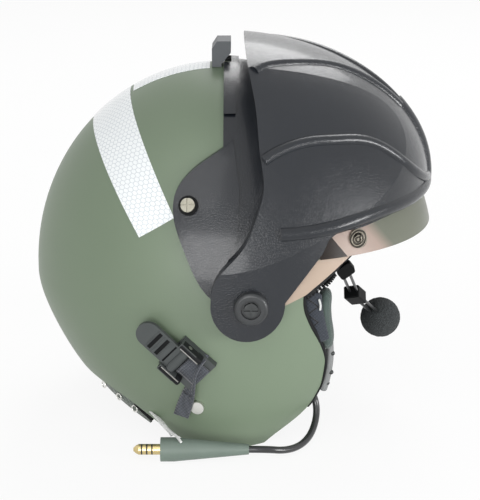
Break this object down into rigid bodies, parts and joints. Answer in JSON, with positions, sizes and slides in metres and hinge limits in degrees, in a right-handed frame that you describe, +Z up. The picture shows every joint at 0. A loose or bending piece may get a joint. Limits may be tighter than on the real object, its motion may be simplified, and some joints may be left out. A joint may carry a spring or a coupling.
{
  "type": "pilot flight helmet",
  "caption": "Hard-shell flight helmet with a ribbed visor cover, swinging sun and inner visors, reflective tape, ear cups, boom microphone, nape buckle and a cord with a plug.",
  "frame": {"origin": "centre of the helmet's footprint on the surface that the ear lobes stand on", "axes": "+X to the wearer's front, +Y to the wearer's left, +Z up"},
  "size_m": [0.28, 0.2589, 0.2634],
  "materials": {
    "shell_paint": "satin grey-green paint over a laminated shell",
    "black_edging": "soft black extruded edging",
    "liner_foam": "dark foam liner",
    "comfort_pad": "grey brushed cloth over soft foam",
    "cover_moulding": "slate grey, leather grain between shiny ribs",
    "boss_moulding": "black moulding",
    "dark_screw": "blackened steel",
    "plated_pin": "plated steel",
    "rubber_grommet": "black rubber",
    "bright_screw": "dull plated steel",
    "reflective_tape": "white honeycomb reflective sheet",
    "cover_clip": "grey moulding",
    "smoke_lens": "lightly tinted polycarbonate",
    "clear_lens": "warm tinted polycarbonate",
    "lens_button": "black moulding",
    "boom_wire": "black coated spring wire",
    "microphone_black": "black moulding",
    "windscreen_foam": "open-cell black foam",
    "buckle_metal": "dark phosphate finish",
    "webbing": "dark grey woven webbing",
    "stud_metal": "nickel plated",
    "strap_cloth": "grey-green cloth",
    "strap_buckle": "black moulding",
    "cord_rubber": "black glossy jacket",
    "sleeve_rubber": "grey-green moulded sleeve",
    "plug_gold": "pale gold plating",
    "plug_rings": "black insulating rings",
    "seal_leather": "dark grey leatherette",
    "cup_moulding": "black moulding"
  },
  "bodies": {
    "helmet": {"outer_shell": "shell_paint", "face_edge_trim": "black_edging", "impact_liner": "liner_foam", "crown_pad": "comfort_pad", "brow_pad": "comfort_pad", "nape_pad": "comfort_pad", "visor_cover": "cover_moulding", "pivot_bosses": "boss_moulding", "pivot_screws": "dark_screw", "pivot_pins": "plated_pin", "cover_washers": "rubber_grommet", "cover_screws": "bright_screw", "reflective_cross_band": "reflective_tape", "reflective_crown_strip": "reflective_tape", "crown_clip": "cover_clip", "right_ear_seal": "seal_leather", "right_ear_cup": "cup_moulding", "right_receiver": "cup_moulding", "right_ear_spacer": "comfort_pad", "left_ear_seal": "seal_leather", "left_ear_cup": "cup_moulding", "left_receiver": "cup_moulding", "left_ear_spacer": "comfort_pad", "boom_clamp": "microphone_black", "boom_pin": "plated_pin", "buckle_base": "buckle_metal", "buckle_pin": "plated_pin", "webbing_tail": "webbing", "snap_stud": "stud_metal", "nape_strap": "strap_cloth", "chin_strap": "webbing", "chin_strap_studs": "stud_metal", "chin_strap_buckle": "strap_buckle", "cord_relief": "cord_rubber", "cord": "cord_rubber", "plug_sleeve": "sleeve_rubber", "plug_contacts": "plug_gold", "plug_insulators": "plug_rings"},
    "sun_visor_lens": {"sun_visor": "smoke_lens", "visor_buttons": "lens_button"},
    "inner_visor_lens": {"inner_visor": "clear_lens"},
    "boom": {"boom_arm": "boom_wire", "microphone_block": "microphone_black", "microphone_capsule": "microphone_black", "foam_windscreen": "windscreen_foam"},
    "thumb_lever": {"buckle_lever": "buckle_metal"}
  },
  "joints": [
    {"name": "sun_visor_hinge", "type": "hinge", "parent": "helmet", "child": "sun_visor_lens", "pos_m": [0.0115, 0, 0.1083], "axis": [0, 1, 0], "range_deg": [0, 28]},
    {"name": "inner_visor_hinge", "type": "hinge", "parent": "helmet", "child": "inner_visor_lens", "pos_m": [0.0115, 0, 0.1083], "axis": [0, 1, 0], "range_deg": [0, 28]},
    {"name": "boom_hinge", "type": "hinge", "parent": "helmet", "child": "boom", "pos_m": [0.0743, -0.0797, 0.1212], "axis": [0, -1, 0], "range_deg": [-30, 10]},
    {"name": "buckle_lever_hinge", "type": "hinge", "parent": "helmet", "child": "thumb_lever", "pos_m": [-0.03605, -0.11677, 0.06943], "axis": [0.6582, -0.1815, 0.7307], "range_deg": [0, 60]}
  ]
}
